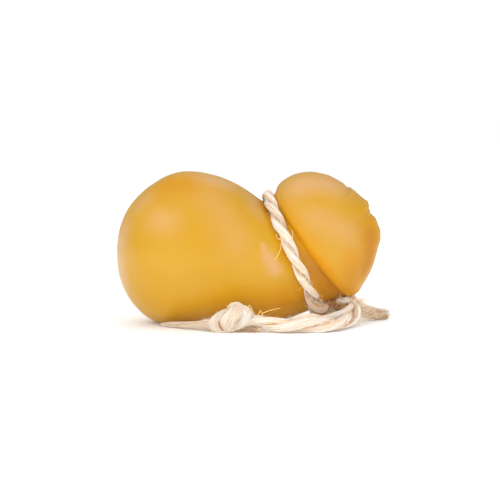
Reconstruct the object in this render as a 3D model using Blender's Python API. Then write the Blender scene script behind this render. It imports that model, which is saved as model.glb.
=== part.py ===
"""A smoked scamorza: a pear-shaped stretched-curd cheese with a round head, tied at the neck with sisal twine.

It lies on its side on a small flat spot of its belly. +X runs from the belly's round end to the head, +Z is
up, and the origin is on the ground below the middle of the cheese. Every dimension below is in millimetres;
the meshes are scaled to metres as they are made.
"""

import math

import bmesh
import bpy
import numpy as np
from mathutils import Vector

MM = 0.001
GAP = 0.3  # between pieces that touch

# ---------------------------------------------------------------- driving dimensions

# The belly, from its round end to its shoulder. Its top and its underside are two lines in the XZ plane.
BELLY_HEIGHT = 72.4
END_X = -62.9  # the round end's pole
END_Z = 32.5
CREST_X = -30.0  # where the top line is highest
SOLE_X = -35.0  # where the underside meets the ground
TOP_RADIUS = 51.5  # of the arc that falls from the crest to the shoulder
TOP_SWEEP = math.radians(38.0)
SHOULDER_LOW_X = 27.0  # the shoulder's lowest point
FLAT_CUT = 1.2  # the flat spot: how deep the ground cuts into the round underside
RISE_X = 10.0  # the underside leaves the ground here
RISE_SLOPE = 0.35
RISE_WIDTH = 6.0
DEPTH_RATIO = 0.985  # depth across the cheese, to its height at the same section

# The neck, where the twine lies in a notch.
NECK_TOP = (8.6, 57.6)
NECK_LOW_X = 35.4
SHOULDER_PULL = 10.0  # how long the top line keeps its slope past the shoulder
NECK_PULL_IN = (5.5, 0.0)  # and past the neck's top, on each side
NECK_PULL_OUT = (2.5, 0.0)
RIM_PULL = (1.6, 4.4)  # how steeply it meets the head's rim

# The head: half an ellipsoid on a tilted rim that overhangs the neck.
RIM_CENTRE = (31.1, 37.4)
HEAD_TILT = math.radians(36.9)  # of the head's axis above the ground
HEAD_YAW = math.radians(8.0)  # of the head's axis towards the front
HEAD_RADIUS = 32.1
HEAD_HEIGHT = 33.2
HEAD_BOW = 2.7  # how far the head's axis bends up at mid-height
CREASE_DEPTH = 1.2  # the fold between neck and rim
CREASE_WIDTH = 2.6
CREASE_START = 2.4  # the larger, the closer to the rim the neck starts to fold in
ROLL_DEPTH = 3.8  # how far the head's edge rolls in towards the neck, at the front and back
ROLL_WIDTH = 8.0

# The folds in the head's end, where its skin was closed: degrees above the rim's centre, and how far the
# surface stands off the smooth ellipsoid there. They fade out to the front and back.
HEAD_FOLDS = (
    (-16.0, 0.0), (-8.0, -0.5), (0.0, -0.6), (6.0, -0.2), (13.0, -0.4), (17.0, -0.95), (23.6, -1.2),
    (27.2, -2.0), (30.5, -2.9), (33.3, -1.9), (35.2, -2.1), (37.0, -0.8), (39.2, -0.2), (42.0, -0.7),
    (50.0, -0.9), (56.6, -0.75), (59.5, -1.7), (64.0, -0.85), (76.0, -0.4), (90.0, 0.0),
)
FOLD_REACH = 16.0

# Dents in the rind: (x, y, z), radius, depth.
DENTS = (
    ((-47.0, 0.0, 67.0), 11.0, 1.5),
    ((-34.0, -17.0, 66.0), 9.0, 0.9),
    ((54.0, -16.0, 44.0), 9.0, 1.5),
)

# The twine round the neck.
NECK_TWINE_DIAMETER = 5.3
LOOP_TOP = (9.1, 60.4)
LOOP_LOW = (34.2, 5.2)
LOOP_SIDE = 30.7  # half the loop's width, front to back
LOOP_OPEN = math.radians(26.0)  # the loop turns off to the knot this far before its lowest point

LOOP_FRONT_TURN = (38.6, -7.4, 6.1)  # on its way to the knot
LOOP_BACK_TURN = (38.6, 5.4, 6.1)
LOOP_ENDS_APART = 5.8  # where both ends of the loop meet the knot
LOOP_ENDS_DROP = 0.3

# The knot that ties the loop, under the head, and the short cut end beside it.
NECK_KNOT_CENTRE = (46.8, -2.0, 7.6)
NECK_KNOT_SIZE = (8.6, 10.0, 7.6)
NECK_KNOT_TWIST = 4.0
SHORT_END_ROUTE = ((51.4, 0.4, 6.8), (55.8, 3.0, 4.8), (61.0, 7.6, 3.3), (66.8, 12.2, 1.9))
SHORT_END_DIAMETERS = (5.4, 6.2, 5.2, 3.4)

# The free tail: from the knot down to the ground, then along it to the end knot.
TAIL_DIAMETER = 6.0
TAIL_ROUTE = (
    (50.4, -8.0, 7.9),
    (50.2, -12.8, 6.6),
    (48.3, -21.0, 4.6),
    (44.0, -30.5, 3.7),
    (37.4, -37.5, 3.5),
    (30.0, -40.9, 3.5),
    (22.0, -41.8, 3.5),
    (14.4, -40.8, 3.7),
    (8.4, -39.6, 4.3),
    (3.2, -38.6, 5.0),
)
TAIL_STEP = 2.0  # distance between the tube's points, in its diameters

# The knot in the tail's end, and the frayed bundle of fibres that leaves it.
END_KNOT_CENTRE = (-8.8, -37.2, 7.3)
END_KNOT_SIZE = (22.0, 12.4, 14.0)
END_KNOT_TWIST = 7.0
FRAYED_ROUTE = ((-19.9, -33.6, 3.4), (-25.0, -30.4, 2.6), (-33.0, -24.6, 2.0), (-42.0, -17.2, 1.3))
FRAYED_DIAMETERS = (4.6, 3.6, 3.0, 1.6)

# A knot's wraps: slanting ridges round an egg.
WRAPS = 3
WRAP_RELIEF = 0.09  # share of the knot's radius
KNOT_BLUNTNESS = 0.5  # the smaller, the blunter its ends

# How finely the solids are divided.
SEGMENTS = 56
END_RINGS = 13
BELLY_RINGS = 14
NECK_RINGS = 10
HEAD_RINGS = 15
RIM_CROWDING = 1.15  # above 1, the head's rings crowd towards its rim
TWINE_BEVEL_RESOLUTION = 2
LOOP_STEPS = 44
LOOP_TRIM = 4  # steps at each end of the loop that the turn to the knot takes over
TURN_STEP = 2.0  # between points of that turn
KNOT_SIDES = 20
KNOT_RINGS = 12
TAPER_SIDES = 12
TAPER_STEP = 2.2  # between rings of a tapered tube


# ---------------------------------------------------------------- curves and small helpers


def underside(x):
    """Height of the cheese's underside at x: level with the ground, then a straight rise."""
    run = x - RISE_X
    return RISE_SLOPE * (run + math.hypot(run, RISE_WIDTH)) / 2 - FLAT_CUT


def hermite(start, end, start_pull, end_pull, t):
    """The point at t, from 0 to 1, on a cubic between two points with a given pull at each."""
    a, b, p, q = (np.array(v, float) for v in (start, end, start_pull, end_pull))
    return (
        a * (2 * t**3 - 3 * t**2 + 1)
        + p * (t**3 - 2 * t**2 + t)
        + b * (3 * t**2 - 2 * t**3)
        + q * (t**3 - t**2)
    )


def smooth_route(points, step):
    """Points about one step apart on the Catmull-Rom curve through a route's points."""
    route = [np.array(p, float) for p in points]
    route = [2 * route[0] - route[1], *route, 2 * route[-1] - route[-2]]
    fine = []
    for before, a, b, after in zip(route, route[1:], route[2:], route[3:]):
        for t in np.arange(0, 1, 0.02):
            fine.append(hermite(a, b, (b - before) / 2, (after - a) / 2, t))
    fine.append(route[-2])
    fine = np.array(fine)
    along = np.concatenate([[0], np.cumsum(np.linalg.norm(np.diff(fine, axis=0), axis=1))])
    wanted = np.linspace(0, along[-1], max(2, round(along[-1] / step) + 1))
    return np.stack([np.interp(wanted, along, fine[:, axis]) for axis in range(3)], axis=1)


def in_plane(point):
    """A point (x, z) of the XZ plane in three dimensions."""
    return np.array([point[0], 0.0, point[1]])


def ring_frame(top, low, yaw):
    """A section's centre, its half height and its half depth as vectors, from its top and low points."""
    top, low = in_plane(top), in_plane(low)
    half = (top - low) / 2
    size = np.linalg.norm(half)
    ahead = np.array([half[2], 0, -half[0]]) / max(size, 1e-9)
    across = np.array([0, math.cos(yaw), 0]) + ahead * math.sin(yaw)
    return (top + low) / 2, half, across * size * DEPTH_RATIO


# ---------------------------------------------------------------- the cheese


def end_sections():
    """Sections of the belly's round end, from just off its pole to its full height."""
    for i in range(1, END_RINGS + 1):
        turn = math.pi / 2 * i / END_RINGS
        top = (
            CREST_X - (CREST_X - END_X) * math.cos(turn),
            END_Z + (BELLY_HEIGHT - END_Z) * math.sin(turn),
        )
        low = (
            SOLE_X - (SOLE_X - END_X) * math.cos(turn),
            END_Z - (END_Z + FLAT_CUT) * math.sin(turn),
        )
        yield ring_frame(top, low, 0.0), 0.0, 0.0


def belly_top(turn):
    """The top line's point, a given angle along its arc from the crest."""
    return (
        CREST_X + TOP_RADIUS * math.sin(turn),
        BELLY_HEIGHT - TOP_RADIUS * (1 - math.cos(turn)),
    )


def belly_sections():
    """Sections from the belly's full height to its shoulder."""
    for i in range(1, BELLY_RINGS + 1):
        share = i / BELLY_RINGS
        low_x = SOLE_X + (SHOULDER_LOW_X - SOLE_X) * share
        yield ring_frame(belly_top(TOP_SWEEP * share), (low_x, underside(low_x)), 0.0), 0.0, 0.0


def head_frame(height):
    """A section of the head, at a height above its rim."""
    ahead = np.array([math.cos(HEAD_TILT), 0, math.sin(HEAD_TILT)])
    up = np.array([-ahead[2], 0, ahead[0]])
    back = np.array([0, 1, 0])
    axis = ahead * math.cos(HEAD_YAW) - back * math.sin(HEAD_YAW)
    across = ahead * math.sin(HEAD_YAW) + back * math.cos(HEAD_YAW)
    share = min(height / HEAD_HEIGHT, 1.0)
    radius = HEAD_RADIUS * math.sqrt(1 - share * share)
    centre = in_plane(RIM_CENTRE) + axis * height + up * HEAD_BOW * math.sin(math.pi * share)
    return centre, up * radius, across * radius * DEPTH_RATIO


def neck_sections():
    """Sections from the shoulder down into the twine's notch, and up to the head's rim."""
    shoulder = belly_top(TOP_SWEEP)
    fall = np.array([math.cos(TOP_SWEEP), -math.sin(TOP_SWEEP)])
    rim_centre, rim_up, _ = head_frame(0.0)
    rim_top, rim_low = rim_centre + rim_up, rim_centre - rim_up
    half = NECK_RINGS // 2
    for i in range(1, half + 1):
        share = i / half
        top = hermite(shoulder, NECK_TOP, fall * SHOULDER_PULL, NECK_PULL_IN, share)
        low_x = SHOULDER_LOW_X + (NECK_LOW_X - SHOULDER_LOW_X) * share
        yield ring_frame(top, (low_x, underside(low_x)), 0.0), 0.0, 0.0
    for i in range(1, half):
        share = i / half
        top = hermite(NECK_TOP, (rim_top[0], rim_top[2]), NECK_PULL_OUT, RIM_PULL, share)
        low_x = NECK_LOW_X + (rim_low[0] - NECK_LOW_X) * share
        low_z = underside(low_x) * (1 - share) + rim_low[2] * share
        crease = math.exp(-(((1 - share) * CREASE_START) ** 2))
        yield ring_frame(top, (low_x, low_z), HEAD_YAW * share), crease, share


def head_sections():
    """Sections of the head, from its rim to just short of its pole."""
    for i in range(HEAD_RINGS):
        turn = math.pi / 2 * (i / HEAD_RINGS) ** RIM_CROWDING
        height = HEAD_HEIGHT * math.sin(turn)
        inside = max(1 - height / ROLL_WIDTH, 0)
        roll = 1 - math.sqrt(1 - inside * inside)
        yield head_frame(height), math.exp(-((height / CREASE_WIDTH) ** 2)), roll


def section_points(frame, crease, roll):
    """One section's ring of points: an ellipse, drawn in at the crease and where the head's edge rolls in."""
    centre, up, across = frame
    ring = []
    for j in range(SEGMENTS):
        turn = 2 * math.pi * j / SEGMENTS
        depth = CREASE_DEPTH * crease + ROLL_DEPTH * roll * math.sin(turn) ** 2
        scale = 1 - depth / HEAD_RADIUS
        ring.append(centre + (up * math.cos(turn) + across * math.sin(turn)) * scale)
    return np.array(ring)


def pressed_in(points, middle):
    """The points moved towards the cheese's middle line by the dents near them."""
    for place, radius, depth in DENTS:
        reach = np.linalg.norm(points - np.array(place), axis=1) / radius
        inward = middle - points
        inward /= np.maximum(np.linalg.norm(inward, axis=1, keepdims=True), 1e-9)
        points = points + inward * (depth * np.exp(-(reach**2)))[:, None]
    return points


def folded(points):
    """The points moved in or out by the folds in the head's end."""
    centre = in_plane(RIM_CENTRE)
    away = points - centre
    distance = np.linalg.norm(away, axis=1, keepdims=True)
    angles = np.degrees(np.arctan2(away[:, 2], away[:, 0]))
    offsets = np.interp(angles, *np.array(HEAD_FOLDS).T, left=0, right=0)
    offsets *= np.exp(-((points[:, 1] / FOLD_REACH) ** 2))
    return points + away / distance * offsets[:, None]


def clear_of_twine(points, route, clearance):
    """The points pushed out of the channel that the neck twine presses into the cheese."""
    starts, runs = route[:-1], np.diff(route, axis=0)
    for i, point in enumerate(points):
        share = np.sum((point - starts) * runs, axis=1) / np.sum(runs * runs, axis=1)
        nearest = starts + runs * np.clip(share, 0, 1)[:, None]
        away = point - nearest
        distance = np.linalg.norm(away, axis=1)
        closest = np.argmin(distance)
        if distance[closest] < clearance:
            points[i] = nearest[closest] + away[closest] * (clearance / distance[closest])
    return points


def cheese_rings():
    """Every ring of the cheese's surface, in order, with its two poles."""
    sections = [*end_sections(), *belly_sections(), *neck_sections(), *head_sections()]
    route = neck_route()
    clearance = NECK_TWINE_DIAMETER / 2 + 2 * GAP
    rings = []
    for frame, crease, roll in sections:
        ring = pressed_in(folded(section_points(frame, crease, roll)), frame[0])
        ring = clear_of_twine(ring, route, clearance)
        ring[:, 2] = np.maximum(ring[:, 2], 0.0)
        rings.append(ring)
    end_pole = np.array([END_X, 0, END_Z])
    head_pole = head_frame(HEAD_HEIGHT)[0]
    return end_pole, rings, head_pole


def add_cheese(collection):
    end_pole, rings, head_pole = cheese_rings()
    return add_loft("cheese", rings, end_pole, head_pole, collection)


# ---------------------------------------------------------------- the twine


def neck_loop(steps):
    """Points of the loop's middle line round the neck, without its turn-off to the knot."""
    top, low = in_plane(LOOP_TOP), in_plane(LOOP_LOW)
    centre, half = (top + low) / 2, (top - low) / 2
    across = np.array([0, LOOP_SIDE, 0])
    turns = np.linspace(-math.pi + LOOP_OPEN, math.pi - LOOP_OPEN, steps)
    return np.array([centre + half * math.cos(t) + across * math.sin(t) for t in turns])


def neck_route():
    """The whole middle line of the neck twine: off the knot, round the neck and back to it."""
    loop = neck_loop(LOOP_STEPS)
    x, y, z = NECK_KNOT_CENTRE
    left, apart = x - NECK_KNOT_SIZE[0] / 2 - GAP, LOOP_ENDS_APART / 2
    near_front = (left, y - apart, z - LOOP_ENDS_DROP)
    near_back = (left, y + apart, z - LOOP_ENDS_DROP)
    trimmed = loop[LOOP_TRIM:-LOOP_TRIM]
    front = smooth_route([near_front, LOOP_FRONT_TURN, loop[0], trimmed[0]], TURN_STEP)
    back = smooth_route([trimmed[-1], loop[-1], LOOP_BACK_TURN, near_back], TURN_STEP)
    return np.concatenate([front[:-1], trimmed, back[1:]])


def add_knot(name, centre, size, twist, collection):
    """A tight knot's outer form: an egg along X with slanting ridges where the strands wrap it."""
    rings = []
    for i in range(1, KNOT_RINGS):
        share = i / KNOT_RINGS
        girth = math.sin(math.pi * share) ** KNOT_BLUNTNESS
        ring = []
        for j in range(KNOT_SIDES):
            turn = 2 * math.pi * j / KNOT_SIDES
            wrap = 1 - WRAP_RELIEF + WRAP_RELIEF * math.cos(WRAPS * turn + twist * share)
            ring.append((
                centre[0] + (share - 0.5) * size[0],
                centre[1] + size[1] / 2 * girth * wrap * math.sin(turn),
                centre[2] + size[2] / 2 * girth * wrap * math.cos(turn),
            ))
        rings.append(np.array(ring))
    half = np.array([size[0] / 2, 0, 0])
    return add_loft(name, rings, np.array(centre) - half, np.array(centre) + half, collection)


def add_tube(name, points, diameter, collection):
    """A tube of one diameter along its points, closed at both ends."""
    curve = bpy.data.curves.new(name, "CURVE")
    curve.dimensions = "3D"
    curve.bevel_depth = diameter / 2 * MM
    curve.bevel_resolution = TWINE_BEVEL_RESOLUTION
    curve.use_fill_caps = True
    spline = curve.splines.new("POLY")
    spline.points.add(len(points) - 1)
    for point, place in zip(spline.points, points):
        point.co = (*(Vector(place) * MM), 1.0)
    spline.use_smooth = True
    return place_object(bpy.data.objects.new(name, curve), collection)


def add_tapered_tube(name, route, diameters, collection):
    """A tube whose diameter changes along its route, with a blunt end at each side."""
    points = smooth_route(route, TAPER_STEP)
    widths = np.interp(np.linspace(0, 1, len(points)), np.linspace(0, 1, len(diameters)), diameters)
    rings = []
    for i, (point, width) in enumerate(zip(points, widths)):
        ahead = Vector(points[min(i + 1, len(points) - 1)] - points[max(i - 1, 0)]).normalized()
        side = ahead.cross(Vector((0, 0, 1))).normalized()
        up = side.cross(ahead)
        ring = []
        for j in range(TAPER_SIDES):
            turn = 2 * math.pi * j / TAPER_SIDES
            place = Vector(point) + (side * math.sin(turn) + up * math.cos(turn)) * width / 2
            ring.append(tuple(place))
        rings.append(np.array(ring))
    return add_loft(name, rings, points[0], points[-1], collection)


# ---------------------------------------------------------------- objects and materials


def add_loft(name, rings, first_pole, last_pole, collection):
    """A closed surface through rings of equal size, ended at a pole on each side."""
    mesh = bpy.data.meshes.new(name)
    form = bmesh.new()
    loops = [[form.verts.new(Vector(p) * MM) for p in ring] for ring in rings]
    count = len(loops[0])
    for one, other in zip(loops, loops[1:]):
        for j in range(count):
            k = (j + 1) % count
            form.faces.new((one[j], one[k], other[k], other[j]))
    for pole, loop in ((first_pole, loops[0]), (last_pole, loops[-1])):
        tip = form.verts.new(Vector(pole) * MM)
        for j in range(count):
            form.faces.new((tip, loop[j], loop[(j + 1) % count]))
    bmesh.ops.recalc_face_normals(form, faces=form.faces)
    form.to_mesh(mesh)
    form.free()
    mesh.shade_smooth()
    return place_object(bpy.data.objects.new(name, mesh), collection)


def place_object(piece, collection):
    collection.objects.link(piece)
    return piece


def finish(piece, name, colour, roughness):
    """Gives a piece its own material."""
    material = bpy.data.materials.new(name)
    material.use_nodes = True
    shader = material.node_tree.nodes["Principled BSDF"]
    shader.inputs["Base Color"].default_value = (*colour, 1.0)
    shader.inputs["Roughness"].default_value = roughness
    shader.inputs["Metallic"].default_value = 0.0
    piece.data.materials.append(material)


def clear_scene():
    for piece in list(bpy.data.objects):
        bpy.data.objects.remove(piece, do_unlink=True)


def main():
    clear_scene()
    scamorza = bpy.data.collections.new("smoked_scamorza")
    bpy.context.scene.collection.children.link(scamorza)
    rind = (0.72, 0.37, 0.045)
    sisal = (0.90, 0.80, 0.66)
    finish(add_cheese(scamorza), "smoked_rind", rind, 0.38)
    twine = {
        "neck_twine": add_tube("neck_twine", neck_route(), NECK_TWINE_DIAMETER, scamorza),
        "neck_knot": add_knot(
            "neck_knot", NECK_KNOT_CENTRE, NECK_KNOT_SIZE, NECK_KNOT_TWIST, scamorza
        ),
        "short_end": add_tapered_tube("short_end", SHORT_END_ROUTE, SHORT_END_DIAMETERS, scamorza),
        "tail_twine": add_tube(
            "tail_twine", smooth_route(TAIL_ROUTE, TAIL_STEP * TAIL_DIAMETER), TAIL_DIAMETER, scamorza
        ),
        "end_knot": add_knot(
            "end_knot", END_KNOT_CENTRE, END_KNOT_SIZE, END_KNOT_TWIST, scamorza
        ),
        "frayed_end": add_tapered_tube("frayed_end", FRAYED_ROUTE, FRAYED_DIAMETERS, scamorza),
    }
    for name, piece in twine.items():
        finish(piece, f"sisal_{name}", sisal, 0.85)


main()
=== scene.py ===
"""Looks of a smoked scamorza that lies on its side, tied at the neck with two-ply sisal twine.

The cheese is the same form as its CAD solid, from the same dimensions, cut finely enough for its dents and
folds. Each stretch of twine is laid up from single fibres. Dimensions are in millimetres and the meshes are
scaled to metres as they are made.
"""

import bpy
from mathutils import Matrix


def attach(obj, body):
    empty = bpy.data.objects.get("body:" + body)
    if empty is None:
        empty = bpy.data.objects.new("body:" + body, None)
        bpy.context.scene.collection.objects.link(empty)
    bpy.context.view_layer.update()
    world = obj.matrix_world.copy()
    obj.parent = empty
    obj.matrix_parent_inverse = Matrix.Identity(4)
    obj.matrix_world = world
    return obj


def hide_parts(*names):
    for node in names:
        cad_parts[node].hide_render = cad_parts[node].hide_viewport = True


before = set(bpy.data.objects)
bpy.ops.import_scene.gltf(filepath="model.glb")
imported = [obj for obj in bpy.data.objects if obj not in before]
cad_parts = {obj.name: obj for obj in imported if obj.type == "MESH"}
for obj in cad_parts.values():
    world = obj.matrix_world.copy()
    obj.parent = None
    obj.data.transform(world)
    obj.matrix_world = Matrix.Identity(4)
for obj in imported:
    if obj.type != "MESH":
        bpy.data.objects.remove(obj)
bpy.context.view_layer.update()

import math

import bpy
import numpy as np
from mathutils import Vector, noise

MM = 0.001
BODY = "root"

# ---- camera

CAMERA_DISTANCE = 1.0  # metres, to the middle of the cheese
CAMERA_RISE = math.radians(5.0)  # how far the camera looks down
IMAGE_SIZE = 500
SENSOR_WIDTH = 36.0
PIXELS_PER_METRE = 2088.0  # at the middle of the cheese
VIEW_CENTRE = (0.0007, 0.0345)  # metres across and up, from the origin

# ---- the room

ROOM_LIGHT = 1.08
ROOM_DIM = 0.19  # what the rind mirrors of the room's near side, and of its backdrop
ROOM_BRIGHT = 0.44
BACKDROP_SIDE = (-0.45, 0.75, 0.5)
BACKDROP_EDGE = 0.9  # how squarely a ray meets that side where the backdrop is brightest

# The lamps: name, place and target in metres, size, power, and whether the rind mirrors it.
LAMPS = (
    ("key", (-0.67, -0.57, 0.84), (-0.04, -0.03, 0.05), (0.34, 0.34), 1.85, True),
    ("side", (0.85, -0.65, 0.2), (0.03, 0, 0.04), (0.15, 0.35), 0.45, False),
    ("upper_front", (0.2, -1.0, 0.62), (0.02, 0, 0.04), (0.5, 0.4), 1.2, False),
    ("low_front", (-0.12, -1.05, 0.1), (-0.01, 0, 0.02), (0.8, 0.25), 5.2, False),
    ("upper_right", (0.75, -0.3, 0.75), (0.01, -0.01, 0.05), (0.4, 0.4), 0.7, False),
    ("low_back", (0.3, 0.9, 0.3), (0.03, 0, 0.01), (1.0, 0.4), 3.5, False),
)

FLOOR_SIZE = 8.0  # metres
FLOOR_COLOURS = (0.93, 0.945, 0.97, 1), (0.945, 0.96, 0.985, 1)
FLOOR_GLOW = 0.06

# ---- dimensions, as in the CAD solids

BELLY_HEIGHT = 72.4
END_X = -62.9
END_Z = 32.5
CREST_X = -30.0
SOLE_X = -35.0
TOP_RADIUS = 51.5
TOP_SWEEP = math.radians(38.0)
SHOULDER_LOW_X = 27.0
FLAT_CUT = 1.2
RISE_X = 10.0
RISE_SLOPE = 0.35
RISE_WIDTH = 6.0
DEPTH_RATIO = 0.985

NECK_TOP = (8.6, 57.6)
NECK_LOW_X = 35.4
SHOULDER_PULL = 10.0
NECK_PULL_IN = (5.5, 0.0)
NECK_PULL_OUT = (2.5, 0.0)
RIM_PULL = (1.6, 4.4)

RIM_CENTRE = (31.1, 37.4)
HEAD_TILT = math.radians(36.9)
HEAD_YAW = math.radians(8.0)
HEAD_RADIUS = 32.1
HEAD_HEIGHT = 33.2
HEAD_BOW = 2.7
CREASE_DEPTH = 1.2
CREASE_WIDTH = 2.6
CREASE_START = 2.4
ROLL_DEPTH = 3.8
ROLL_WIDTH = 8.0

# The folds in the head's end: degrees above the rim's centre, and how far the rind stands out or in there.
HEAD_FOLDS = (
    (-16.0, 0.0), (-8.0, -0.5), (0.0, -0.6), (6.0, -0.2), (13.0, -0.4), (17.0, -0.95), (23.6, -1.2),
    (27.2, -2.0), (30.5, -2.9), (33.3, -1.9), (35.2, -2.1), (37.0, -0.8), (39.2, -0.2), (42.0, -0.7),
    (50.0, -0.9), (56.6, -0.75), (59.5, -1.7), (64.0, -0.85), (76.0, -0.4), (90.0, 0.0),
)
FOLD_REACH = 16.0

# Each dent's place, radius and depth.
DENTS = (
    ((-47.0, 0.0, 67.0), 11.0, 1.5),
    ((-34.0, -17.0, 66.0), 9.0, 0.9),
    ((54.0, -16.0, 44.0), 9.0, 1.5),
)

NECK_TWINE_DIAMETER = 5.3
LOOP_TOP = (9.1, 60.4)
LOOP_LOW = (34.2, 5.2)
LOOP_SIDE = 30.7
LOOP_OPEN = math.radians(26.0)
LOOP_FRONT_TURN = (38.6, -7.4, 6.1)
LOOP_BACK_TURN = (38.6, 5.4, 6.1)
LOOP_ENDS_APART = 5.8
LOOP_ENDS_DROP = 0.3
LOOP_STEPS = 88
LOOP_TRIM = 8  # steps at each end of it that give way to its turn towards the knot
LOOP_TURN_STEP = 2.0

NECK_KNOT_CENTRE = (46.8, -2.0, 7.6)
NECK_KNOT_SIZE = (8.6, 10.0, 7.6)
SHORT_END_ROUTE = ((51.4, 0.4, 6.8), (55.8, 3.0, 4.8), (61.0, 7.6, 3.3), (66.8, 12.2, 1.9))
SHORT_END_DIAMETERS = (5.4, 6.2, 5.2, 3.4)

TAIL_DIAMETER = 6.0
TAIL_ROUTE = (
    (50.4, -8.0, 7.9),
    (50.2, -12.8, 6.6),
    (48.3, -21.0, 4.6),
    (44.0, -30.5, 3.7),
    (37.4, -37.5, 3.5),
    (30.0, -40.9, 3.5),
    (22.0, -41.8, 3.5),
    (14.4, -40.8, 3.7),
    (8.4, -39.6, 4.3),
    (3.2, -38.6, 5.0),
)

FRAYED_ROUTE = ((-19.9, -33.6, 3.4), (-25.0, -30.4, 2.6), (-33.0, -24.6, 2.0), (-42.0, -17.2, 1.3))
FRAYED_DIAMETERS = (4.6, 3.6, 3.0, 1.6)

# ---- what only the visible meshes have

SEGMENTS = 288
END_RINGS = 72
BELLY_RINGS = 72
NECK_RINGS = 56
HEAD_RINGS = 96

# Where the folds of the head's end lie deepest: degrees above the rim's centre, and how dark the painted
# shade in them is.
FOLD_SHADE_LINES = ((58.6, 0.3), (34.6, 0.35), (30.4, 0.35), (17.0, 0.2))
FOLD_LINE_WIDTH = 1.3  # degrees
FOLD_LINE_REACH = 11.0
FOLD_LINE_START = 8.0  # how far to the right of the rim's centre they begin
FOLD_WAVE = -2.5  # degrees by which the folds wander as they run to the front and the back
FOLD_WAVE_RUN = 9.0

# Patches of the rind: the two ends of each patch's middle line, its radius and its strength. The deeper ones
# are smoke stains on the back and painted shade on the front: low on the belly, under the head and in the
# dents. The paler ones are a dry bloom on the back and painted highlights and sheen on the front. The browned
# ones are painted shade.
STAINS_AND_SHADE = (
    ((-38.0, -16.0, 67.0), (-31.0, -17.0, 67.0), 9.5, 1.0),
    ((57.5, -14.0, 46.0), (57.0, -16.0, 26.0), 9.0, 1.0),
    ((24.0, -24.0, 12.0), (8.0, -33.0, 10.0), 9.0, 1.0),
    ((12.0, -20.0, 6.0), (-8.0, -22.0, 5.0), 8.0, 0.6),
    ((50.0, -25.0, 31.0), (47.0, -19.0, 19.0), 9.0, 0.8),
    ((42.0, -23.0, 21.0), (48.0, -18.0, 18.0), 6.0, 0.7),
    ((-10.0, 26.0, 58.0), (8.0, 22.0, 52.0), 10.0, 0.7),
    ((-34.0, 35.0, 24.0), (-6.0, 33.0, 18.0), 10.0, 0.6),
    ((52.0, 14.0, 50.0), (56.0, 13.0, 34.0), 8.0, 0.8),
    ((-58.0, 10.0, 52.0), (-60.0, 14.0, 40.0), 9.0, 0.5),
)
# Paler patches: a dry bloom on the back, and painted highlights and sheen on the front.
BLOOMS_AND_HIGHLIGHTS = (
    ((-42.0, -31.0, 51.5), (-37.0, -31.5, 50.5), 7.5, 0.45),
    ((-22.0, -13.0, 69.5), (-12.0, -12.0, 69.5), 8.0, 0.85),
    ((-52.0, -20.0, 60.0), (-50.0, -20.0, 62.0), 6.0, 0.7),
    ((-60.0, -14.0, 45.0), (-61.0, -11.0, 25.0), 8.0, 0.6),
    ((6.8, -31.4, 39.4), (7.6, -31.2, 35.0), 1.8, 0.9),
    ((8.6, -31.4, 34.6), (12.2, -30.8, 28.5), 3.4, 0.95),
    ((4.0, -19.0, 54.0), (2.0, -10.0, 58.5), 6.5, 0.5),
    ((24.0, -17.0, 67.5), (37.0, -14.0, 65.5), 9.0, 0.9),
    ((31.0, -29.0, 52.0), (46.0, -26.0, 45.0), 8.0, 0.55),
    ((-18.0, -24.0, 61.0), (-6.0, -33.5, 42.0), 9.0, 0.4),
    ((49.0, -25.0, 43.0), (49.5, -25.0, 40.0), 5.0, 0.4),
    ((-44.0, 27.0, 50.0), (-30.0, 34.0, 44.0), 10.0, 0.6),
    ((-12.0, 35.0, 36.0), (4.0, 32.0, 34.0), 8.0, 0.5),
    ((28.0, 24.0, 58.0), (38.0, 27.0, 46.0), 8.0, 0.6),
    ((-57.0, 12.0, 26.0), (-54.0, 18.0, 20.0), 8.0, 0.5),
    ((46.0, 2.0, 62.0), (40.0, 8.0, 66.0), 7.0, 0.5),
)
# Browned patches of painted shade, low on the belly and on the head's right side.
PAINTED_SHADE_PATCHES = (
    ((28.0, -21.0, 10.0), (10.0, -27.0, 7.0), 7.0, 0.45),
    ((58.0, -17.0, 41.0), (57.0, -16.0, 28.0), 6.5, 0.6),
    ((50.0, -21.0, 24.0), (46.0, -16.0, 17.0), 7.0, 0.3),
    ((57.0, 14.0, 44.0), (58.0, 12.0, 36.0), 6.0, 0.3),
)
STAIN_ROUGHNESS = 0.65  # the rind is duller where its stain and painted shade are deepest
EDGE_SHADE_WIDTH = 6.5  # of the band of painted shade along the head's rolled-in edge
UNDERCUT_SHADE = 0.3  # painted shade between the twine and that edge
WEDGE_SHADE = 1.0  # how dark the painted shade on the neck is, low under the head's edge
WEDGE_TOP = 40.0  # the height below which it darkens, and the way over which it does
WEDGE_FADE = 13.0
CREASE_SHADE = 0.15  # how dark the painted shade is right beside the twine, and in the crease
RIM_GLOW = 0.9  # how brightly the rind glows at the head's rolled-in edge, and beside the twine
TWINE_GLOW = 0.8
TWINE_GLOW_REACH = 2.6
LOW_GLOW_TOP = 24.0  # below this, and to the right of the start, the rind glows with light off the ground
LOW_GLOW_START = -45.0
LOW_GLOW_RUN = 35.0  # the way over which that grows to its full strength
TWINE_CLEARANCE = 0.1  # between the rind and the twine's CAD solid
RELIEF = ((0.5, 19.0, 3.1), (0.16, 6.5, 8.3))  # heights, lump sizes and seeds of its unevenness

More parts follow.
